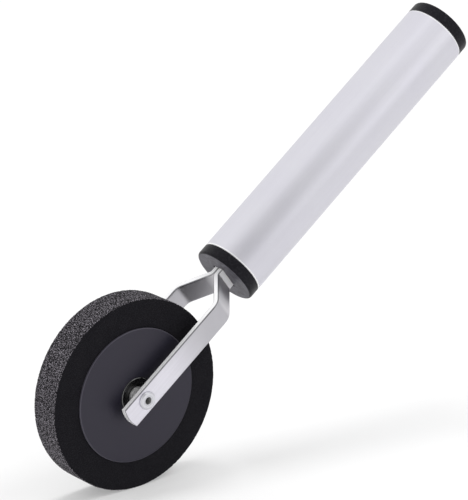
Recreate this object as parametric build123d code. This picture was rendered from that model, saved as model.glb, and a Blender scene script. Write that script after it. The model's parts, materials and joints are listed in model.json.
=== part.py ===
from build123d import *

import math
import os

# A hand roller: a foam-tyred wheel on ball bearings, in a two-strip fork at the end of a tubular handle.
# The origin is the centre of the wheel. +Y runs along the axle to the user's right, +Z is up, and the
# handle rises towards +X. Lengths are in millimetres and angles in degrees.

# Wheel
tyre_diameter = 100.0
tyre_width = 17.0
tyre_edge_radius = 0.3
core_diameter = 70.0
core_proud = 1.25
core_chamfer = 0.5
pocket_chamfer = 0.4

# Ball bearings, the 6 x 19 x 6 mm standard size, shielded on both sides
bearing_bore_diameter = 6.0
bearing_outer_diameter = 19.0
bearing_width = 6.0
bearing_proud = 0.25
pitch_diameter = 12.5
ball_diameter = 3.44
ball_count = 7
groove_radius = 1.78
inner_shoulder_diameter = 10.1
outer_shoulder_diameter = 14.8
race_chamfer = 0.3
shield_seat_diameter = 16.4
shield_seat_depth = 0.5
shield_thickness = 0.3
shield_gap = 0.3
shield_step_diameter = 13.2
shield_step_depth = 0.2
cage_inner_diameter = 11.3
cage_outer_diameter = 13.7
cage_width = 4.2
cage_pocket_clearance = 0.1

# Axle: a hollow rivet that clamps the arms, the spacers and the inner races together
axle_diameter = 5.94
axle_bore_diameter = 3.7
axle_head_diameter = 9.4
axle_head_height = 1.2
axle_head_edge_radius = 1.0
axle_bore_edge_radius = 0.4
spacer_outer_diameter = 9.0
spacer_bore_diameter = 6.1

# Fork: two strips of flat bar, back to back in the plug and bent apart below it
strip_width = 12.7
strip_thickness = 3.2
strip_edge_radius = 0.9
strip_corner_radius = 0.8
strip_rim_radius = 0.4
strip_end_sagitta = 1.25
bend_angle = 45.0
upper_bend_radius = 0.8
lower_bend_radius = 5.5
fork_outer_width = 36.0
arm_tail = 13.6
first_bend_height = 75.5
strip_hole_clearance = 0.04

# Handle
handle_lean = 36.4
handle_diameter = 35.0
tube_wall = 1.5
tube_start = 85.0
tube_length = 170.8
tube_chamfer = 0.5
plug_fit_clearance = 0.05
lower_plug_length = 6.0
lower_plug_edge_radius = 1.3
lower_plug_shank = 36.0
upper_plug_length = 6.6
upper_plug_edge_radius = 1.6
upper_plug_shank = 22.0
upper_plug_wall = 2.5
slot_gap = 0.6
strip_insertion = 34.0
pin_diameter = 4.0
pin_length = 30.0
pin_first_distance = 10.0
pin_spacing = 14.0

# Derived sizes
tyre_radius = tyre_diameter / 2
core_radius = core_diameter / 2
core_half_width = tyre_width / 2 + core_proud
bearing_outer_face = core_half_width + bearing_proud
bearing_centre = bearing_outer_face - bearing_width / 2
bearing_inner_face = bearing_outer_face - bearing_width
bearing_bore_radius = bearing_bore_diameter / 2
bearing_outer_radius = bearing_outer_diameter / 2
pitch_radius = pitch_diameter / 2
ball_radius = ball_diameter / 2
inner_shoulder_radius = inner_shoulder_diameter / 2
outer_shoulder_radius = outer_shoulder_diameter / 2
shield_seat_radius = shield_seat_diameter / 2
shield_bore_radius = inner_shoulder_radius + shield_gap
axle_radius = axle_diameter / 2
axle_bore_radius = axle_bore_diameter / 2
arm_outer_face = fork_outer_width / 2
arm_inner_face = arm_outer_face - strip_thickness
handle_radius = handle_diameter / 2
tube_inner_radius = handle_radius - tube_wall
plug_radius = handle_radius - plug_fit_clearance
shank_radius = tube_inner_radius - plug_fit_clearance
lower_plug_face = tube_start - lower_plug_length
strip_top = lower_plug_face + strip_insertion
tube_end = tube_start + tube_length

SIDES = {"left": -1, "right": 1}


def block(low_x, high_x, low_y, high_y):
    """A rectangle in the XY plane between two corners."""
    return Pos((low_x + high_x) / 2, (low_y + high_y) / 2) * Rectangle(high_x - low_x, high_y - low_y)


def ring(inner_radius, outer_radius, low_y, high_y, edge=0.0):
    """A turned ring about the axle, with its sharp edges broken."""
    section = block(inner_radius, outer_radius, low_y, high_y)
    if edge > 0:
        section = chamfer(section.vertices(), edge)
    return revolve(section, Axis.Y)


def rounded_corner(section, x, y, radius):
    """The section with its corner nearest to a point made round."""
    corner = section.vertices().sort_by_distance((x, y, 0))[0]
    return fillet(corner, radius)


def chamfered_corner(section, x, y, length):
    """The section with its corner nearest to a point cut off."""
    corner = section.vertices().sort_by_distance((x, y, 0))[0]
    return chamfer(corner, length)


def raised(shape):
    """Turns a piece drawn with the handle along +X up to the handle's real lean."""
    return shape.rotate(Axis.Y, -handle_lean)


def bearing_place(side):
    """The middle of one bearing on the axle."""
    return Pos(0, side * bearing_centre, 0)


def ball_places():
    """The middles of the balls of one bearing, around its pitch circle, with local X pointing outwards."""
    return [Rot(0, index * 360 / ball_count, 0) * Pos(pitch_radius, 0, 0) for index in range(ball_count)]


def foam_tyre():
    section = block(core_radius, tyre_radius, -tyre_width / 2, tyre_width / 2)
    for end in (-1, 1):
        section = rounded_corner(section, tyre_radius, end * tyre_width / 2, tyre_edge_radius)
    return revolve(section, Axis.Y)


def wheel_core():
    """The turned disc that carries the tyre, with a bearing pocket in each face."""
    web_bore_radius = shield_seat_radius
    section = block(web_bore_radius, core_radius, -core_half_width, core_half_width)
    for end in (-1, 1):
        floor_y = end * bearing_inner_face
        face_y = end * core_half_width
        section -= block(web_bore_radius, bearing_outer_radius, min(floor_y, face_y), max(floor_y, face_y))
        section = chamfered_corner(section, core_radius, face_y, core_chamfer)
        section = chamfered_corner(section, bearing_outer_radius, face_y, pocket_chamfer)
    return revolve(section, Axis.Y)


def outer_race(side):
    half = bearing_width / 2
    section = block(outer_shoulder_radius, bearing_outer_radius, -half, half)
    section -= Pos(pitch_radius, 0) * Circle(groove_radius)
    for end in (-1, 1):
        seat_y = end * (half - shield_seat_depth)
        section -= block(outer_shoulder_radius, shield_seat_radius, min(seat_y, end * half), max(seat_y, end * half))
        section = chamfered_corner(section, bearing_outer_radius, end * half, race_chamfer)
    return bearing_place(side) * revolve(section, Axis.Y)


def inner_race(side):
    half = bearing_width / 2
    section = block(bearing_bore_radius, inner_shoulder_radius, -half, half)
    section -= Pos(pitch_radius, 0) * Circle(groove_radius)
    for end in (-1, 1):
        section = chamfered_corner(section, bearing_bore_radius, end * half, race_chamfer)
    return bearing_place(side) * revolve(section, Axis.Y)


def shield(side, end):
    """A stepped disc that closes one end of a bearing, pressed into the outer race."""
    step_radius = shield_step_diameter / 2
    low_y = bearing_width / 2 - shield_seat_depth
    high_y = low_y + shield_thickness
    rim = block(step_radius - shield_thickness, shield_seat_radius, low_y, high_y)
    lip = block(shield_bore_radius, step_radius, low_y - shield_step_depth, high_y - shield_step_depth)
    disc = revolve(rim + lip, Axis.Y)
    if end < 0:
        disc = mirror(disc, about=Plane.XZ)
    return bearing_place(side) * disc


def ball_cage(side):
    """The ring between the races, with a round pocket bored through it for each ball."""
    cage = ring(cage_inner_diameter / 2, cage_outer_diameter / 2, -cage_width / 2, cage_width / 2)
    pocket = Rot(0, 90, 0) * Cylinder(ball_radius + cage_pocket_clearance, cage_outer_diameter / 2)
    for place in ball_places():
        cage -= place * pocket
    return bearing_place(side) * cage


def balls(side):
    solids = [bearing_place(side) * place * Sphere(ball_radius) for place in ball_places()]
    return Compound(children=solids)


def bearing_spacer():
    """The sleeve that keeps the two inner races apart."""
    return ring(spacer_bore_diameter / 2, spacer_outer_diameter / 2, -bearing_inner_face, bearing_inner_face)


def axle_spacer(side):
    """The sleeve between one bearing and its fork arm."""
    low_y = min(side * bearing_outer_face, side * arm_inner_face)
    high_y = max(side * bearing_outer_face, side * arm_inner_face)
    return ring(spacer_bore_diameter / 2, spacer_outer_diameter / 2, low_y, high_y, edge=race_chamfer)


def axle_rivet():
    """A tube with a rolled head on each arm's outer face."""
    end_y = arm_outer_face + axle_head_height
    section = block(axle_bore_radius, axle_radius, -end_y, end_y)
    for end in (-1, 1):
        head_low = min(end * arm_outer_face, end * end_y)
        head_high = max(end * arm_outer_face, end * end_y)
        section += block(axle_bore_radius, axle_head_diameter / 2, head_low, head_high)
    for end in (-1, 1):
        section = rounded_corner(section, axle_head_diameter / 2, end * end_y, axle_head_edge_radius)
        section = rounded_corner(section, axle_bore_radius, end * end_y, axle_bore_edge_radius)
    return revolve(section, Axis.Y)


def strip_side_outline():
    """One arm seen edge-on: straight in the plug, bent out, then straight past the axle."""
    run = arm_inner_face / math.tan(math.radians(bend_angle))
    second_bend_height = first_bend_height - run
    shift = strip_thickness / 2 * math.tan(math.radians(bend_angle / 2))
    upper_inner = (first_bend_height - shift, 0)
    upper_outer = (first_bend_height + shift, strip_thickness)
    lower_inner = (second_bend_height - shift, arm_inner_face)
    lower_outer = (second_bend_height + shift, arm_outer_face)
    points = [
        (strip_top, 0),
        upper_inner,
        lower_inner,
        (-arm_tail, arm_inner_face),
        (-arm_tail, arm_outer_face),
        lower_outer,
        upper_outer,
        (strip_top, strip_thickness),
    ]
    outline = make_face(Polyline(*points, close=True))
    outline = rounded_corner(outline, *upper_outer, upper_bend_radius)
    outline = rounded_corner(outline, *lower_inner, lower_bend_radius)
    outline = rounded_corner(outline, *upper_inner, upper_bend_radius + strip_thickness)
    return rounded_corner(outline, *lower_outer, lower_bend_radius + strip_thickness)


def strip_face_outline():
    """One arm seen square to its face: a long strip whose lower end is a shallow arc."""
    half = strip_width / 2
    corner = -arm_tail + strip_end_sagitta
    edges = Polyline((corner, half), (strip_top, half), (strip_top, -half), (corner, -half))
    end = ThreePointArc((corner, -half), (-arm_tail, 0), (corner, half))
    outline = make_face(edges + end)
    outline = rounded_corner(outline, corner, half, strip_corner_radius)
    outline = rounded_corner(outline, corner, -half, strip_corner_radius)
    return Plane.XZ * outline


def strip_trim():
    """The space that one arm's bar is trimmed to, with a rounded rim at the lower end."""
    lower = Pos(0, arm_outer_face, 0) * extrude(strip_face_outline(), amount=strip_thickness)
    rims = lower.faces().sort_by(Axis.Y)[0].edges() + lower.faces().sort_by(Axis.Y)[-1].edges()
    lower = fillet(rims, strip_rim_radius)
    upper = Pos(strip_top / 2, 0, 0) * Box(strip_top, 2 * fork_outer_width, strip_width)
    return lower + upper


def pin_distances():
    """Where the two cross pins pass, along the handle from the wheel."""
    first = lower_plug_face + pin_first_distance
    return [first, first + pin_spacing]


def fork_arm(side):
    bar = extrude(strip_side_outline(), amount=strip_width / 2, both=True)
    long_edges = bar.faces().sort_by(Axis.Z)[-1].edges().filter_by(Axis.Y, reverse=True)
    long_edges += bar.faces().sort_by(Axis.Z)[0].edges().filter_by(Axis.Y, reverse=True)
    bar = fillet(long_edges, strip_edge_radius)
    bar &= strip_trim()
    bore_radius = bearing_bore_radius + strip_hole_clearance
    bar -= Rot(90, 0, 0) * Cylinder(bore_radius, 2 * fork_outer_width)
    for distance in pin_distances():
        hole_radius = pin_diameter / 2 + strip_hole_clearance
        bar -= Pos(distance, 0, 0) * Rot(90, 0, 0) * Cylinder(hole_radius, 2 * fork_outer_width)
    if side < 0:
        bar = mirror(bar, about=Plane.XZ)
    return raised(bar)


def lower_plug():
    """The plug at the wheel end, slotted for the two strips and drilled for the cross pins."""
    section = block(lower_plug_face, tube_start, 0, plug_radius)
    section += block(tube_start, tube_start + lower_plug_shank, 0, shank_radius)
    section = rounded_corner(section, lower_plug_face, plug_radius, lower_plug_edge_radius)
    plug = revolve(section, Axis.X)
    slot_depth = strip_insertion + slot_gap
    slot = Box(2 * slot_depth, 2 * (strip_thickness + slot_gap), strip_width + 2 * slot_gap)
    plug -= Pos(lower_plug_face, 0, 0) * slot
    for distance in pin_distances():
        hole_radius = pin_diameter / 2 + strip_hole_clearance
        plug -= Pos(distance, 0, 0) * Rot(90, 0, 0) * Cylinder(hole_radius, handle_diameter)
    return raised(plug)


def fork_pins():
    """Two cross pins through the plug's shank and both strips, held in by the tube."""
    solids = [
        raised(Pos(distance, 0, 0) * Rot(90, 0, 0) * Cylinder(pin_diameter / 2, pin_length))
        for distance in pin_distances()
    ]
    return Compound(children=solids)


def handle_tube():
    section = block(tube_start, tube_end, tube_inner_radius, handle_radius)
    for end in (tube_start, tube_end):
        section = chamfered_corner(section, end, handle_radius, tube_chamfer)
    return raised(revolve(section, Axis.X))


def upper_plug():
    """The hollow plug that closes the free end of the handle."""
    face = tube_end + upper_plug_length
    section = block(tube_end, face, 0, plug_radius)
    section += block(tube_end - upper_plug_shank, tube_end, shank_radius - upper_plug_wall, shank_radius)
    section = rounded_corner(section, face, plug_radius, upper_plug_edge_radius)
    return raised(revolve(section, Axis.X))


def all_pieces():
    """Every piece by the name of its node."""
    pieces = {
        "foam_tyre": foam_tyre(),
        "wheel_core": wheel_core(),
        "bearing_spacer": bearing_spacer(),
        "axle_rivet": axle_rivet(),
        "lower_plug": lower_plug(),
        "fork_pins": fork_pins(),
        "handle_tube": handle_tube(),
        "upper_plug": upper_plug(),
    }
    for name, side in SIDES.items():
        pieces[f"{name}_outer_race"] = outer_race(side)
        pieces[f"{name}_inner_race"] = inner_race(side)
        pieces[f"{name}_outer_shield"] = shield(side, side)
        pieces[f"{name}_inner_shield"] = shield(side, -side)
        pieces[f"{name}_ball_cage"] = ball_cage(side)
        pieces[f"{name}_balls"] = balls(side)
        pieces[f"{name}_axle_spacer"] = axle_spacer(side)
        pieces[f"{name}_fork_arm"] = fork_arm(side)
    return pieces


os.makedirs("parts", exist_ok=True)
for node, shape in all_pieces().items():
    export_step(shape, f"parts/{node}.step")
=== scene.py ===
import json
import math

import bpy
from mathutils import Matrix, Vector, noise


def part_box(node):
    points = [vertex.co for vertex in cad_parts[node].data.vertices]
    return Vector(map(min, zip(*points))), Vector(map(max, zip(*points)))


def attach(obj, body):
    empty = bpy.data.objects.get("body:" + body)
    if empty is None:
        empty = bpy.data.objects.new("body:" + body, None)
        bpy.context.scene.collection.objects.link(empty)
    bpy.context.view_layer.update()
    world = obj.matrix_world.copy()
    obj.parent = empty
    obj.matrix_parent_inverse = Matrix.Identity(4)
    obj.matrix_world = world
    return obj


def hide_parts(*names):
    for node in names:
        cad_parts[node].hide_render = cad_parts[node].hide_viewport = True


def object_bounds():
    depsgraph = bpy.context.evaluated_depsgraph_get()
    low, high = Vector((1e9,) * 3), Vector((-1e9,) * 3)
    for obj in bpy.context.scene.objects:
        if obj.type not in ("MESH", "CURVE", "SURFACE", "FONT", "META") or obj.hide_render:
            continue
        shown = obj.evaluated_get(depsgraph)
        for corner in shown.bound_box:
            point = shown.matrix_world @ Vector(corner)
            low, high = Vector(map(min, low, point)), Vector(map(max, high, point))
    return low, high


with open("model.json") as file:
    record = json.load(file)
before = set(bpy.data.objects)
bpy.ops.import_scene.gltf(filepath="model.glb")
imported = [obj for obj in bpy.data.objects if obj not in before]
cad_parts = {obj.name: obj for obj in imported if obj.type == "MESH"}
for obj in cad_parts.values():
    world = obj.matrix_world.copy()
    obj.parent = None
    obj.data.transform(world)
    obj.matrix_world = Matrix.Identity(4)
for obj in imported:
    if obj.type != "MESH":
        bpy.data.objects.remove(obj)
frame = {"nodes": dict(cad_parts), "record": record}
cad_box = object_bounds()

# A hand roller with a foam tyre. Everything is in metres, in the frame of the CAD model: the origin is the
# wheel's centre, +Y runs along the axle, +Z is up and the handle rises towards +X.

MM = 0.001

# ---------------------------------------------------------------- camera, floor and light

# Where the camera is, what it is aimed at from the origin, in metres, and its lens.
VIEW_AZIMUTH = math.radians(-39.02)
VIEW_ELEVATION = math.radians(18.31)
VIEW_DISTANCE = 1.4246
VIEW_AIM_RIGHT = 0.05452
VIEW_AIM_UP = 0.07044
LENS_MM = 204.19
SENSOR_MM = 36.0

FLOOR_RADIUS = 9.0
FLOOR_CORNERS = 96
FLOOR_WHITE = 0.5
FLOOR_GLOW = 0.30

# The room's strength on its right and left. It changes between two cosines of the angle to a direction.
ROOM_RIGHT = 0.92
ROOM_LEFT = 1.15
LEFT_DIRECTION = (-0.61, 0.50, 0.61)
LEFT_WIDE = -0.3
LEFT_NARROW = 0.7

# A dimmer patch, which takes the strength down to a share. It is fitted for the metal's reflections.
DIM_SHARE = 0.55
DIM_DIRECTION = (-0.15, -0.56, 0.815)
DIM_WIDE = 0.60
DIM_NARROW = 0.98

# How far up the handle the butt's softbox is aimed, in metres.
BUTT_LIGHT_AIM = 0.33


def direction(azimuth, elevation):
    """A unit vector from the object towards a place round it. Azimuth 0 is the -Y side and 90 the +X side."""
    level = math.cos(elevation)
    return Vector((math.sin(azimuth) * level, -math.cos(azimuth) * level, math.sin(elevation)))


def aim(thing, place, target, upright=Vector((0, 0, 1))):
    """Puts a camera or a light at a place and points it at a target."""
    back = (place - target).normalized()
    right = upright.cross(back).normalized()
    thing.location = place
    thing.rotation_mode = "QUATERNION"
    thing.rotation_quaternion = Matrix((right, back.cross(right), back)).transposed().to_quaternion()


def make_camera():
    away = direction(VIEW_AZIMUTH, VIEW_ELEVATION)
    right = Vector((math.cos(VIEW_AZIMUTH), math.sin(VIEW_AZIMUTH), 0))
    up = away.cross(right)
    target = right * VIEW_AIM_RIGHT + up * VIEW_AIM_UP
    data = bpy.data.cameras.new("camera")
    data.sensor_width = SENSOR_MM
    data.lens = LENS_MM
    camera = bpy.data.objects.new("camera", data)
    bpy.context.scene.collection.objects.link(camera)
    aim(camera, target + away * VIEW_DISTANCE, target)
    bpy.context.scene.camera = camera


def softbox(name, target, azimuth, elevation, distance, width, height, watts, upright=Vector((0, 0, 1))):
    """A rectangular studio light that faces a point."""
    data = bpy.data.lights.new(name, "AREA")
    data.shape = "RECTANGLE"
    data.size = width
    data.size_y = height
    data.energy = watts
    lamp = bpy.data.objects.new(name, data)
    lamp.visible_camera = False
    bpy.context.scene.collection.objects.link(lamp)
    aim(lamp, target + direction(math.radians(azimuth), math.radians(elevation)) * distance, target, upright)


def floor_light(name, paper, azimuth, elevation, spread, strength):
    """A soft light that reaches only the paper: it throws the tool's shadow and doesn't light the tool."""
    data = bpy.data.lights.new(name, "SUN")
    data.energy = strength
    data.angle = math.radians(spread)
    lamp = bpy.data.objects.new(name, data)
    bpy.context.scene.collection.objects.link(lamp)
    aim(lamp, direction(math.radians(azimuth), math.radians(elevation)), Vector((0, 0, 0)))
    lamp.light_linking.receiver_collection = paper


def make_floor():
    low = cad_box[0].z
    corners = []
    for corner in range(FLOOR_CORNERS):
        turn = 2 * math.pi * corner / FLOOR_CORNERS
        corners.append((FLOOR_RADIUS * math.cos(turn), FLOOR_RADIUS * math.sin(turn), low))
    mesh = bpy.data.meshes.new("floor")
    mesh.from_pydata(corners, [], [tuple(range(FLOOR_CORNERS))])
    floor = bpy.data.objects.new("floor", mesh)
    bpy.context.scene.collection.objects.link(floor)
    material = bpy.data.materials.new("floor_paper")
    material.use_nodes = True
    shader = material.node_tree.nodes["Principled BSDF"]
    shader.inputs["Base Color"].default_value = (FLOOR_WHITE, FLOOR_WHITE, FLOOR_WHITE, 1)
    shader.inputs["Roughness"].default_value = 1.0
    shader.inputs["Specular IOR Level"].default_value = 0.0
    shader.inputs["Emission Color"].default_value = (1, 1, 1, 1)
    shader.inputs["Emission Strength"].default_value = FLOOR_GLOW
    mesh.materials.append(material)
    return floor


def make_world():
    """A room that is a little brighter behind and to the left, and dimmer in front, above eye level."""
    world = bpy.data.worlds.new("studio")
    world.use_nodes = True
    tree = world.node_tree
    place = tree.nodes.new("ShaderNodeTexCoord").outputs["Generated"]

    def towards(where, low, high, low_value, high_value):
        """A value that changes with the cosine of the angle between the view of the room and a direction."""
        facing = tree.nodes.new("ShaderNodeVectorMath")
        facing.operation = "DOT_PRODUCT"
        facing.inputs[1].default_value = where
        tree.links.new(place, facing.inputs[0])
        level = tree.nodes.new("ShaderNodeMapRange")
        level.interpolation_type = "SMOOTHSTEP"
        level.inputs["From Min"].default_value = low
        level.inputs["From Max"].default_value = high
        level.inputs["To Min"].default_value = low_value
        level.inputs["To Max"].default_value = high_value
        tree.links.new(facing.outputs["Value"], level.inputs["Value"])
        return level.outputs["Result"]

    strength = tree.nodes.new("ShaderNodeMath")
    strength.operation = "MULTIPLY"
    room = towards(LEFT_DIRECTION, LEFT_WIDE, LEFT_NARROW, ROOM_RIGHT, ROOM_LEFT)
    dimmed = towards(DIM_DIRECTION, DIM_WIDE, DIM_NARROW, 1.0, DIM_SHARE)
    tree.links.new(room, strength.inputs[0])
    tree.links.new(dimmed, strength.inputs[1])
    background = tree.nodes["Background"]
    tree.links.new(strength.outputs["Value"], background.inputs["Strength"])
    background.inputs["Color"].default_value = (1.0, 1.0, 1.0, 1)
    bpy.context.scene.world = world


def make_studio():
    make_camera()
    # This collection isn't in the scene: it only lists what the floor lights reach.
    paper = bpy.data.collections.new("paper")
    paper.objects.link(make_floor())
    floor_light("floor_light_above", paper, azimuth=180, elevation=79, spread=20, strength=1.20)
    floor_light("floor_light_right", paper, azimuth=59, elevation=55, spread=16, strength=0.55)
    make_world()
    middle = (cad_box[0] + cad_box[1]) / 2
    left = {"azimuth": -105, "elevation": 50, "distance": 1.4, "width": 1.2, "height": 1.2}
    softbox("left_softbox", middle, watts=0.5, **left)
    handle = Vector((cad_box[1].x, 0, cad_box[1].z)).normalized()
    butt = {"azimuth": -12.0, "elevation": 44.0, "distance": 0.45, "width": 1.1, "height": 0.28}
    softbox("butt_softbox", handle * BUTT_LIGHT_AIM, watts=0.70, upright=handle, **butt)
    bpy.context.scene.view_settings.view_transform = "Standard"


# ---------------------------------------------------------------- material tools


class Graph:
    """One material, built node by node. An input is a plain value or another node's output."""

    def __init__(self, name):
        self.material = bpy.data.materials.new(name)
        self.material.use_nodes = True
        self.tree = self.material.node_tree
        self.shader = self.tree.nodes["Principled BSDF"]

    def add(self, kind, inputs=None, output=0, **properties):
        made = self.tree.nodes.new("ShaderNode" + kind)
        for name, value in properties.items():
            setattr(made, name, value)
        for name, value in (inputs or {}).items():
            self.put(made.inputs[name], value)
        return made.outputs[output]

    def put(self, socket, value):
        if isinstance(value, bpy.types.NodeSocket):
            self.tree.links.new(value, socket)
        else:
            socket.default_value = value

    def math(self, operation, first, second=0.0, clamp=False):
        return self.add("Math", {0: first, 1: second}, operation=operation, use_clamp=clamp)

    def place(self):
        return self.add("TexCoord", output="Object")

    def scaled(self, vector, scale):
        return self.add("VectorMath", {0: vector, 1: scale}, operation="MULTIPLY")

    def noise(self, vector, scale, detail=2.0, roughness=0.5, distortion=0.0):
        inputs = {"Vector": vector, "Scale": scale, "Detail": detail, "Roughness": roughness}
        inputs["Distortion"] = distortion
        return self.add("TexNoise", inputs)

    def spread(self, value, from_low, from_high, low, high, smooth=False):
        """A value moved from one range to another, and held there."""
        inputs = {"Value": value, "From Min": from_low, "From Max": from_high, "To Min": low, "To Max": high}
        kind = "SMOOTHSTEP" if smooth else "LINEAR"
        return self.add("MapRange", inputs, interpolation_type=kind)

    def mix(self, share, first, second):
        """From the first colour to the second."""
        return self.add("Mix", {0: share, 6: first, 7: second}, output=2, data_type="RGBA")

    def between(self, share, first, second):
        """From the first number to the second."""
        return self.add("Mix", {0: share, 2: first, 3: second}, data_type="FLOAT")

    def bump(self, height, distance, strength=1.0, normal=None):
        inputs = {"Height": height, "Distance": distance, "Strength": strength}
        if normal is not None:
            inputs["Normal"] = normal
        return self.add("Bump", inputs)

    def turned_place(self):
        """Distance from the axle and place along it: equal all the way round, as on a turned part."""
        parts = self.add("SeparateXYZ", {0: self.place()}).node.outputs
        across = self.math("MULTIPLY", parts["X"], parts["X"])
        upwards = self.math("MULTIPLY", parts["Z"], parts["Z"])
        radius = self.math("SQRT", self.math("ADD", across, upwards))
        return radius, parts["Y"]

    def turned_lines(self, lines_per_metre):
        radius, along = self.turned_place()
        rings = self.add("CombineXYZ", {0: radius, 1: along})
        return self.noise(rings, lines_per_metre, detail=3.0, roughness=0.6)

    def handle_place(self):
        """Places turned so that X runs along the handle."""
        turn = (0, HANDLE_LEAN, 0)
        return self.add("Mapping", {"Vector": self.place(), "Rotation": turn})

    def drawn_lines(self, lines_per_metre, stretch):
        """Fine lines along the handle's direction."""
        place = self.scaled(self.handle_place(), (1 / stretch, 1, 1))
        return self.noise(place, lines_per_metre, detail=3.0, roughness=0.6)

    def worn_edge(self, radius, strength):
        """Up to 1 along sharp edges, and 0 further than a radius from them."""
        eased = self.add("Bevel", {"Radius": radius}, samples=6)
        true = self.add("NewGeometry", output="Normal")
        same = self.add("VectorMath", {0: eased, 1: true}, output="Value", operation="DOT_PRODUCT")
        return self.math("MULTIPLY", self.math("SUBTRACT", 1.0, same), strength, clamp=True)

    def beside(self, part):
        """How much of a unit vector is left for its other parts."""
        return self.math("SQRT", self.math("SUBTRACT", 1.0, self.math("MULTIPLY", part, part), clamp=True))

    def edge_on(self, along):
        """Three masks for the fork's bars: narrow sides and tips, upper rounded edges, and slanted parts."""
        outward = self.add("TexCoord", output="Normal")
        turned = self.add("Mapping", {"Vector": outward, "Rotation": (0, HANDLE_LEAN, 0)})
        parts = self.add("SeparateXYZ", {0: turned}).node.outputs
        at_tip = self.math("LESS_THAN", along, TIP_START)
        tip = self.math("MULTIPLY", self.beside(parts["Y"]), at_tip)
        sideways = self.math("MAXIMUM", self.math("ABSOLUTE", parts["Z"]), tip)
        upper = self.math("GREATER_THAN", parts["Z"], UPPER_EDGE)
        diagonal = self.math("MULTIPLY", self.math("MULTIPLY", sideways, self.beside(sideways)), 2.0)
        diagonal = self.math("MULTIPLY", diagonal, upper)
        slanted = self.spread(parts["X"], 0.35, 0.65, 0.0, 1.0, smooth=True)
        narrow = self.spread(sideways, 0.80, 0.97, 0.0, 1.0, smooth=True)
        rounded = self.spread(diagonal, 0.45, 0.85, 0.0, 1.0)
        return narrow, rounded, slanted

    def finish(self, colour, roughness, normal, metallic=0.0, **constants):
        """Sets the shader. A constant is named after its socket, with _ for a space."""
        self.put(self.shader.inputs["Base Color"], colour)
        self.put(self.shader.inputs["Roughness"], roughness)
        self.put(self.shader.inputs["Normal"], normal)
        self.put(self.shader.inputs["Metallic"], metallic)
        for name, value in constants.items():
            self.shader.inputs[name.replace("_", " ")].default_value = value
        return self.material


def find_mount(name):
    """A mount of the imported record, by its name."""
    return next(mount for mount in frame["record"]["mounts"] if mount["name"] == name)


# How far the handle rises from level, and the size of the hole through the axle.
GRIP_AXIS = find_mount("handle_grip")["axis"]
HANDLE_LEAN = math.atan2(GRIP_AXIS[2], GRIP_AXIS[0])
AXLE_BORE_RADIUS = find_mount("axle_bore")["dims"]["r_mm"] * MM

TYRE_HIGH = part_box("foam_tyre")[1]
TYRE_RADIUS = TYRE_HIGH.z
TYRE_HALF_WIDTH = TYRE_HIGH.y
CORE_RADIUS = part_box("wheel_core")[1].z


def tube_ends():
    """Where the handle tube starts and ends along the handle."""
    run = Vector((math.cos(HANDLE_LEAN), 0, math.sin(HANDLE_LEAN)))
    places = [point.co.dot(run) for point in frame["nodes"]["handle_tube"].data.vertices]
    return min(places), max(places)


TUBE_START, TUBE_END = tube_ends()

# Three painted highlights: the bright cut band at each end of the tube, on bare metal, the rivet's dull bore
# past its radius, and the core's pale rim.
CUT_WIDTH = 0.8 * MM
BORE_MARGIN = 0.06 * MM
CORE_RIM_HIGHLIGHT = 0.35 * MM

# The tyre's pale open cells, partly real and partly painted light, show up to the first depth below the
# tread, and its skin from the second.
CELLS_DEPTH = 0.33 * MM
SKIN_DEPTH = 0.45 * MM

# Places along the handle: where the strips' tips start, where their tone changes under a painted reflection,
# where their slanted part dulls, and where they run straight into the plug, with a painted highlight.
TIP_START = -8.5 * MM
DARKENING = (12 * MM, 50 * MM)
SLANT_DULLING = (65 * MM, 72 * MM)
STRAIGHT_START = (71 * MM, 75 * MM)

# A rounded edge of a strip counts as an upper one where its normal's part across the handle is over this.
UPPER_EDGE = -0.3


# ---------------------------------------------------------------- materials
# A noise's scale is in cells per metre. spread() takes its input's range, then its result's range.


def grey(level, blue=1.0):
    """A near-neutral colour, a little bluer where blue is over 1."""
    return (level, level, level * blue, 1)


def foam_material():
    """Open-cell sponge: dark pits with painted shade, paler cell walls where it rolls, partly real and partly
    painted light, and a darker skin on its sides.
    """
    cell_pit = (0.0040, 0.0034, 0.0048, 1)
    cell_wall_and_light = (0.430, 0.402, 0.450, 1)
    skin_dark = (0.0040, 0.0036, 0.0052, 1)
    skin_pale = (0.0170, 0.0160, 0.0215, 1)
    pit_shade_tone = (0.0040, 0.0038, 0.0046, 1)
    dust = (0.030, 0.029, 0.032, 1)
    graph = Graph("foam")
    place = graph.place()
    radius = graph.turned_place()[0]
    rolling = graph.spread(radius, TYRE_RADIUS - SKIN_DEPTH, TYRE_RADIUS - CELLS_DEPTH, 0.0, 1.0, smooth=True)
    pit_shade = graph.add("Attribute", output="Fac", attribute_name="pit_shade")
    fine = graph.noise(place, scale=1900, detail=2.0, roughness=0.75)
    speck = graph.add("TexVoronoi", {"Vector": place, "Scale": 1100.0, "Randomness": 1.0}, output="Distance")
    patches = graph.noise(place, scale=130, detail=3.0, roughness=0.6)
    between_cells = graph.spread(speck, 0.20, 0.60, 0.05, 1.0)
    wall = graph.math("MULTIPLY", between_cells, graph.spread(fine, 0.53, 0.62, 0.0, 2.4))
    # Paler cell walls on the tread: partly real cut cells, partly painted light for the light the tread
    # catches from the left.
    cut_face_and_light = graph.mix(wall, cell_pit, cell_wall_and_light)
    skin = graph.mix(graph.spread(fine, 0.42, 0.70, 0.0, 1.0), skin_dark, skin_pale)
    colour = graph.mix(rolling, skin, cut_face_and_light)
    # Painted shade: darker in the pits pressed into the mesh.
    colour = graph.mix(graph.math("MULTIPLY", pit_shade, 0.45), colour, pit_shade_tone)
    colour = graph.mix(graph.spread(patches, 0.3, 0.8, 0.0, 0.12), colour, dust)
    roughness = graph.spread(fine, 0.3, 0.7, 0.82, 1.0)
    relief = graph.math("ADD", graph.math("MULTIPLY", wall, 0.6), fine)
    normal = graph.bump(relief, distance=0.12 * MM, strength=0.9)
    return graph.finish(colour, roughness, normal, Specular_IOR_Level=0.08, Sheen_Weight=0.03)


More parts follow.
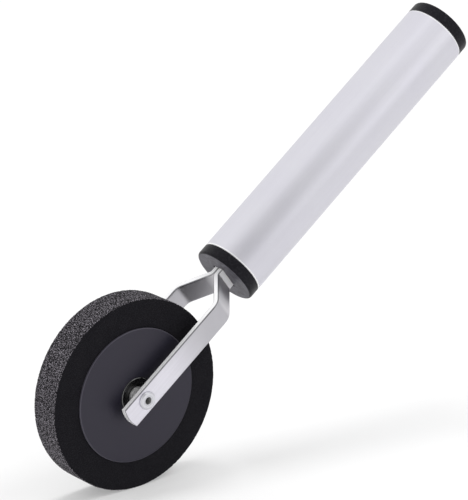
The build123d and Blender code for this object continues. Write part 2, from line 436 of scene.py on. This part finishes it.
def core_material():
    """Black plastic with a violet cast, turned smooth to a soft gloss, with a mottle, paler edges and a
    painted highlight round its rim.
    """
    dark = (0.0024, 0.0020, 0.0085, 1)
    pale = (0.0044, 0.0038, 0.0120, 1)
    line_tone = (0.010, 0.009, 0.018, 1)
    edge_tone = (0.070, 0.066, 0.085, 1)
    rim_highlight_tone = (0.110, 0.104, 0.130, 1)
    violet_gloss = (0.92, 0.87, 1.0, 1)
    graph = Graph("core_plastic")
    place = graph.place()
    lines = graph.turned_lines(lines_per_metre=2200)
    grain = graph.noise(place, scale=3500, detail=2.0)
    cloud = graph.noise(place, scale=45, detail=4.0, roughness=0.6)
    edge = graph.worn_edge(radius=0.35 * MM, strength=3.0)
    tone = graph.mix(graph.spread(cloud, 0.3, 0.7, 0.0, 1.0), dark, pale)
    tone = graph.mix(graph.spread(lines, 0.35, 0.7, 0.0, 0.25), tone, line_tone)
    radius = graph.turned_place()[0]
    # Painted highlight: a pale ring on the core's rim.
    rim_highlight = graph.math("GREATER_THAN", radius, CORE_RADIUS - CORE_RIM_HIGHLIGHT)
    colour = graph.mix(graph.math("MULTIPLY", edge, 0.5), tone, edge_tone)
    colour = graph.mix(graph.math("MULTIPLY", rim_highlight, 0.5), colour, rim_highlight_tone)
    worn = graph.math("MULTIPLY", edge, 0.08)
    roughness = graph.math("SUBTRACT", graph.spread(cloud, 0.25, 0.75, 0.47, 0.54), worn)
    relief = graph.math("ADD", graph.math("MULTIPLY", lines, 0.7), graph.math("MULTIPLY", grain, 0.3))
    normal = graph.bump(relief, distance=0.008 * MM, strength=0.5)
    gloss = {"Specular_IOR_Level": 0.55, "Specular_Tint": violet_gloss}
    return graph.finish(colour, roughness, normal, **gloss)


def plug_material():
    """Moulded black plastic with a fine spark-eroded grain, polished corners and end faces made paler by dust
    and by painted light.
    """
    dark = (0.0030, 0.0028, 0.0046, 1)
    pale = (0.0050, 0.0047, 0.0070, 1)
    grain_tone = (0.024, 0.023, 0.028, 1)
    pebble_tone = (0.026, 0.025, 0.030, 1)
    dust_and_light_tone = (0.138, 0.134, 0.158, 1)
    cool_gloss = (0.94, 0.92, 1.0, 1)
    graph = Graph("plug_plastic")
    place = graph.place()
    grain = graph.noise(place, scale=4200, detail=2.0, roughness=0.6)
    pebble = graph.noise(place, scale=800, detail=3.0, roughness=0.65)
    cloud = graph.noise(place, scale=60, detail=4.0, roughness=0.6)
    smear = graph.noise(place, scale=260, detail=5.0, roughness=0.7, distortion=0.8)
    edge = graph.worn_edge(radius=0.9 * MM, strength=2.0)
    run = (math.cos(HANDLE_LEAN), 0, math.sin(HANDLE_LEAN))
    outward = graph.add("TexCoord", output="Normal")
    facing = graph.add("VectorMath", {0: outward, 1: run}, output="Value", operation="DOT_PRODUCT")
    end_face = graph.spread(graph.math("ABSOLUTE", facing), 0.93, 0.99, 0.0, 1.0, smooth=True)
    tone = graph.mix(graph.spread(cloud, 0.3, 0.7, 0.0, 1.0), dark, pale)
    tone = graph.mix(graph.spread(grain, 0.5, 0.75, 0.0, 0.5), tone, grain_tone)
    tone = graph.mix(graph.spread(pebble, 0.48, 0.68, 0.0, 0.5), tone, pebble_tone)
    # Dust and painted light: the end faces are paler, never below a share, with smeared marks.
    dust = graph.math("MULTIPLY", end_face, graph.spread(smear, 0.36, 0.70, 0.35, 0.95))
    tone = graph.mix(dust, tone, dust_and_light_tone)
    colour = graph.mix(graph.math("MULTIPLY", edge, 0.35), tone, grey(0.05))
    worn = graph.math("MULTIPLY", edge, 0.14)
    roughness = graph.math("SUBTRACT", graph.spread(grain, 0.25, 0.75, 0.34, 0.46), worn)
    pebbled = graph.bump(pebble, distance=0.16 * MM, strength=0.6)
    normal = graph.bump(grain, distance=0.05 * MM, strength=0.6, normal=pebbled)
    gloss = {"Specular_IOR_Level": 0.13, "Specular_Tint": cool_gloss}
    return graph.finish(colour, roughness, normal, **gloss)


def tube_material():
    """Clear satin anodising over drawn aluminium, with a paler, less metallic band at each cut end: bare
    metal with a painted highlight.
    """
    dark = (0.618, 0.609, 0.665, 1)
    pale = (0.642, 0.636, 0.682, 1)
    line_tone = (0.57, 0.565, 0.614, 1)
    cut_highlight_tone = (0.95, 0.95, 0.96, 1)
    graph = Graph("anodised_tube")
    along = graph.add("SeparateXYZ", {0: graph.handle_place()}, output="X")
    lines = graph.drawn_lines(lines_per_metre=2600, stretch=120)
    cloud = graph.noise(graph.place(), scale=35, detail=4.0, roughness=0.55)
    speck = graph.noise(graph.place(), scale=5200, detail=1.0)
    low_cut = graph.math("LESS_THAN", along, TUBE_START + CUT_WIDTH)
    high_cut = graph.math("GREATER_THAN", along, TUBE_END - CUT_WIDTH)
    cut = graph.math("MAXIMUM", low_cut, high_cut)
    tone = graph.mix(graph.spread(cloud, 0.3, 0.7, 0.0, 1.0), dark, pale)
    tone = graph.mix(graph.spread(lines, 0.3, 0.75, 0.0, 0.22), tone, line_tone)
    # Painted highlight: the cut band at each end is pale and less metallic, on bare metal.
    colour = graph.mix(cut, tone, cut_highlight_tone)
    cloudy = graph.spread(cloud, 0.3, 0.7, -0.02, 0.02)
    satin = graph.math("ADD", graph.spread(lines, 0.3, 0.7, 0.38, 0.45), cloudy)
    roughness = graph.between(cut, satin, 0.25)
    relief = graph.math("ADD", graph.math("MULTIPLY", lines, 0.6), graph.math("MULTIPLY", speck, 0.4))
    normal = graph.bump(relief, distance=0.006 * MM, strength=0.5)
    metallic = graph.between(cut, 1.0, 0.35)
    return graph.finish(colour, roughness, normal, metallic=metallic)


def strip_material():
    """Satin flat bar with fine lines along it: darker towards the handle and on its upper rounded edges, both
    a painted reflection, and paler and duller on its narrow sides, rough edges with a painted highlight, and
    next to the plug, a painted highlight. The darkening is fitted, and stands in for what the dark parts of a
    real studio would show in the metal."""
    tip_tone = (0.725, 0.710, 0.777, 1)
    plug_end_tone = (0.450, 0.442, 0.471, 1)
    cloud_tone = (0.80, 0.80, 0.82, 1)
    line_tone = (0.50, 0.495, 0.52, 1)
    mark_tone = (0.40, 0.40, 0.41, 1)
    dulled_tone = (0.70, 0.69, 0.72, 1)
    pale_and_highlight_tone = (0.97, 0.97, 0.98, 1)
    dark_reflection_tone = (0.20, 0.20, 0.21, 1)
    graph = Graph("strip_aluminium")
    along = graph.add("SeparateXYZ", {0: graph.handle_place()}, output="X")
    lines = graph.drawn_lines(lines_per_metre=3200, stretch=60)
    cloud = graph.noise(graph.place(), scale=55, detail=4.0, roughness=0.6)
    marks = graph.noise(graph.place(), scale=420, detail=5.0, roughness=0.75, distortion=1.5)
    narrow, rounded, slanted = graph.edge_on(along)
    darkened = graph.spread(along, *DARKENING, 0.0, 1.0, smooth=True)
    tone = graph.mix(darkened, tip_tone, plug_end_tone)
    tone = graph.mix(graph.spread(cloud, 0.3, 0.7, 0.0, 0.12), tone, cloud_tone)
    tone = graph.mix(graph.spread(lines, 0.35, 0.75, 0.0, 0.25), tone, line_tone)
    tone = graph.mix(graph.spread(marks, 0.62, 0.72, 0.0, 0.2), tone, mark_tone)
    unslanted = graph.math("SUBTRACT", 1.0, slanted)
    straight = graph.math("MULTIPLY", graph.spread(along, *STRAIGHT_START, 0.0, 1.0), unslanted)
    slant_dulled = graph.math("MULTIPLY", slanted, graph.spread(along, *SLANT_DULLING, 0.9, 0.3, smooth=True))
    face_dulled = graph.math("MAXIMUM", slant_dulled, straight)
    dull = graph.math("MAXIMUM", narrow, face_dulled)
    tone = graph.mix(graph.math("MULTIPLY", face_dulled, 0.8), tone, dulled_tone)
    # Painted highlight: the straight part next to the plug is paler.
    tone = graph.mix(graph.math("MULTIPLY", straight, 0.8), tone, pale_and_highlight_tone)
    # Paler narrow sides: a rough sawn edge, with a painted highlight on it.
    tone = graph.mix(narrow, tone, pale_and_highlight_tone)
    # Painted reflection: dark along the upper rounded edges.
    colour = graph.mix(graph.math("MULTIPLY", rounded, 0.8), tone, dark_reflection_tone)
    cloudy = graph.spread(cloud, 0.3, 0.7, -0.03, 0.03)
    satin = graph.math("ADD", graph.spread(lines, 0.3, 0.7, 0.33, 0.43), cloudy)
    satin = graph.math("SUBTRACT", satin, graph.math("MULTIPLY", rounded, 0.10))
    roughness = graph.between(dull, satin, 0.60)
    metallic = graph.spread(dull, 0.0, 1.0, 1.0, 0.3)
    normal = graph.bump(lines, distance=0.008 * MM, strength=0.5)
    return graph.finish(colour, roughness, normal, metallic=metallic)


def turned_metal(name, dark, bright, satin_range, lines_per_metre, depth, metallic=1.0, bore=0.0):
    """Metal turned or ground round the axle, with its cutting lines and rubbed edges. A bore is a radius,
    inside which it is duller and a less metallic grey, a painted highlight."""
    graph = Graph(name)
    lines = graph.turned_lines(lines_per_metre)
    cloud = graph.noise(graph.place(), scale=300, detail=4.0, roughness=0.6)
    edge = graph.worn_edge(radius=0.2 * MM, strength=2.5)
    tone = graph.mix(graph.spread(lines, 0.3, 0.7, 0.0, 1.0), dark, bright)
    tone = graph.mix(graph.spread(cloud, 0.45, 0.75, 0.0, 0.3), tone, dark)
    rubbed = tuple(min(1.0, part * 1.15) for part in bright)
    colour = graph.mix(graph.math("MULTIPLY", edge, 0.6), tone, rubbed)
    satin = graph.spread(graph.math("ADD", lines, cloud), 0.7, 1.3, *satin_range)
    if bore:
        radius = graph.turned_place()[0]
        drilled = graph.math("LESS_THAN", radius, bore)
        # Painted highlight: a duller, less metallic grey in the bore, which shows light at its mouth.
        colour = graph.mix(drilled, colour, grey(0.45))
        satin = graph.between(drilled, satin, 0.50)
        metallic = graph.between(drilled, metallic, 0.5)
    normal = graph.bump(lines, distance=depth, strength=0.5)
    return graph.finish(colour, satin, normal, metallic=metallic)


def plain_steel(name, dark, bright):
    """Steel sheet or bar as it comes, with a fine grain, a faint mottle and paler edges."""
    graph = Graph(name)
    grain = graph.noise(graph.place(), scale=2500, detail=4.0, roughness=0.7)
    cloud = graph.noise(graph.place(), scale=250, detail=4.0, roughness=0.6)
    edge = graph.worn_edge(radius=0.2 * MM, strength=2.5)
    tone = graph.mix(graph.spread(cloud, 0.3, 0.7, 0.0, 1.0), dark, bright)
    colour = graph.mix(graph.math("MULTIPLY", edge, 0.5), tone, grey(0.75))
    roughness = graph.spread(grain, 0.3, 0.7, 0.28, 0.42)
    normal = graph.bump(grain, distance=0.006 * MM, strength=0.5)
    return graph.finish(colour, roughness, normal, metallic=1.0)


def dress(material, *nodes):
    """Gives a material to every slot of these CAD nodes."""
    for name in nodes:
        piece = frame["nodes"][name]
        for slot in piece.material_slots:
            slot.material = material
        if not piece.material_slots:
            piece.data.materials.append(material)


def both(name):
    return "left_" + name, "right_" + name


def dress_frame():
    dress(core_material(), "wheel_core")
    dress(plug_material(), "lower_plug", "upper_plug")
    dress(tube_material(), "handle_tube")
    dress(strip_material(), *both("fork_arm"))
    coarse = {"lines_per_metre": 2600, "depth": 0.02 * MM}
    # The spacers are only partly metallic: their diffuse part is a painted glint.
    turned = turned_metal("turned_aluminium", grey(0.66), grey(0.85), (0.26, 0.36), metallic=0.55, **coarse)
    dress(turned, "bearing_spacer", *both("axle_spacer"))
    rolled = {"lines_per_metre": 1900, "depth": 0.02 * MM, "bore": AXLE_BORE_RADIUS + BORE_MARGIN}
    rivet = turned_metal("rivet_metal", grey(0.50, 1.06), grey(0.68, 1.06), (0.24, 0.34), **rolled)
    dress(rivet, "axle_rivet")
    ground = {"lines_per_metre": 3400, "depth": 0.01 * MM}
    steel = turned_metal("bearing_steel", grey(0.48), grey(0.60), (0.18, 0.28), **ground)
    dress(steel, *both("inner_race"), *both("balls"))
    # Painted shade: the outer races are near-black, for the arm's shadow over them.
    outer_race = turned_metal("outer_race_painted_shade", grey(0.09), grey(0.17), (0.16, 0.26), **ground)
    dress(outer_race, *both("outer_race"))
    shield = turned_metal("shield_steel", grey(0.045), grey(0.11), (0.22, 0.34), **ground)
    dress(shield, *both("outer_shield"), *both("inner_shield"))
    dress(plain_steel("cage_steel", grey(0.42), grey(0.55)), *both("ball_cage"))
    dress(plain_steel("pin_steel", grey(0.40), grey(0.52)), "fork_pins")


# ---------------------------------------------------------------- foam tyre

# The mesh's steps round the axle, and along each stretch of the section.
TYRE_SECTORS = 840
SIDE_STEPS = 30
EDGE_STEPS = 3
TREAD_STEPS = 44

# Large cells, with small ones among them. They grow shallower from the tread inwards, over EDGE_FADE.
PORE_SIZE = 1.15 * MM
PORE_DEPTH = 0.30 * MM
SKIN_PORE_DEPTH = 0.06 * MM
SMALL_PORE_SIZE = PORE_SIZE * 0.55
SMALL_PORE_SHARE = 0.6
# How much of the painted shade in the pits stays on the sides.
SKIN_PIT_SHADE_SHARE = 0.35
EDGE_FADE = 1.0 * MM
FLAT_SIDE_TOLERANCE = 0.01 * MM

# A cell is a bowl of this radius, in cell sizes. A cell's place decides how open it is.
BOWL_RADIUS = 0.62
BOWL_STEEPNESS = 1.5
LEAST_OPEN = 0.35
OPENNESS_SCALE = 7.3


def tyre_edge_radius():
    """How far the tyre's flat side stops short of the tread."""
    points = [point.co for point in frame["nodes"]["foam_tyre"].data.vertices]
    side = [point for point in points if point.y > TYRE_HALF_WIDTH - FLAT_SIDE_TOLERANCE]
    return TYRE_RADIUS - max(math.hypot(point.x, point.z) for point in side)


TYRE_EDGE_RADIUS = tyre_edge_radius()


def tyre_section():
    """The section's closed outline: each point's radius and place along the axle, then the same two parts of
    its outward direction."""
    half = TYRE_HALF_WIDTH
    edge = TYRE_EDGE_RADIUS
    outline = []
    for step in range(SIDE_STEPS):
        radius = CORE_RADIUS + (TYRE_RADIUS - edge - CORE_RADIUS) * step / SIDE_STEPS
        outline.append((radius, -half, 0, -1))
    for step in range(EDGE_STEPS):
        turn = math.pi / 2 * step / EDGE_STEPS
        radius = TYRE_RADIUS - edge + edge * math.sin(turn)
        outline.append((radius, -half + edge - edge * math.cos(turn), math.sin(turn), -math.cos(turn)))
    for step in range(TREAD_STEPS):
        outline.append((TYRE_RADIUS, (-half + edge) + 2 * (half - edge) * step / TREAD_STEPS, 1, 0))
    for step in range(EDGE_STEPS):
        turn = math.pi / 2 * step / EDGE_STEPS
        radius = TYRE_RADIUS - edge + edge * math.cos(turn)
        outline.append((radius, half - edge + edge * math.sin(turn), math.cos(turn), math.sin(turn)))
    for step in range(SIDE_STEPS + 1):
        radius = TYRE_RADIUS - edge - (TYRE_RADIUS - edge - CORE_RADIUS) * step / SIDE_STEPS
        outline.append((radius, half, 0, 1))
    return outline


def pore(place, size):
    """How deep a point lies in an open cell, from 0 on a cell wall to 1 at the bottom of a large cell."""
    distances, centres = noise.voronoi(place / size)
    bowl = max(0.0, 1.0 - distances[0] / BOWL_RADIUS)
    openness = 0.5 + 0.5 * noise.noise(centres[0] * OPENNESS_SCALE)
    return min(1.0, bowl * BOWL_STEEPNESS) * (LEAST_OPEN + (1 - LEAST_OPEN) * openness)


def make_foam_tyre():
    """The sponge ring, with cells pressed into its surface, deep on the tread and shallow on the sides."""
    outline = tyre_section()
    count = len(outline)
    points = []
    pit_shades = []
    for sector in range(TYRE_SECTORS):
        turn = 2 * math.pi * sector / TYRE_SECTORS
        outwards = Vector((math.cos(turn), 0, math.sin(turn)))
        for radius, along, out, side in outline:
            place = outwards * radius + Vector((0, along, 0))
            normal = outwards * out + Vector((0, side, 0))
            deep = max(pore(place, PORE_SIZE), SMALL_PORE_SHARE * pore(place, SMALL_PORE_SIZE))
            rolling = max(0.0, min(1.0, (radius - TYRE_RADIUS + EDGE_FADE) / EDGE_FADE))
            depth = SKIN_PORE_DEPTH + (PORE_DEPTH - SKIN_PORE_DEPTH) * rolling
            points.append(place - normal * depth * deep)
            # How dark the painted shade in this pit is: full on the tread, a share on the sides.
            pit_shades.append(deep * (SKIN_PIT_SHADE_SHARE + (1 - SKIN_PIT_SHADE_SHARE) * rolling))
    faces = []
    for sector in range(TYRE_SECTORS):
        here = sector * count
        after = (sector + 1) % TYRE_SECTORS * count
        for step in range(count):
            following = (step + 1) % count
            faces.append((here + step, here + following, after + following, after + step))
    mesh = bpy.data.meshes.new("sponge_tyre")
    mesh.from_pydata(points, [], faces)
    mesh.update()
    # The pits' painted shade goes to the material as a point attribute.
    attribute = mesh.attributes.new("pit_shade", "FLOAT", "POINT")
    attribute.data.foreach_set("value", pit_shades)
    mesh.shade_smooth()
    mesh.materials.append(foam_material())
    tyre = bpy.data.objects.new("sponge_tyre", mesh)
    bpy.context.scene.collection.objects.link(tyre)
    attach(tyre, "wheel")
    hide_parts("foam_tyre")


make_studio()
dress_frame()
make_foam_tyre()
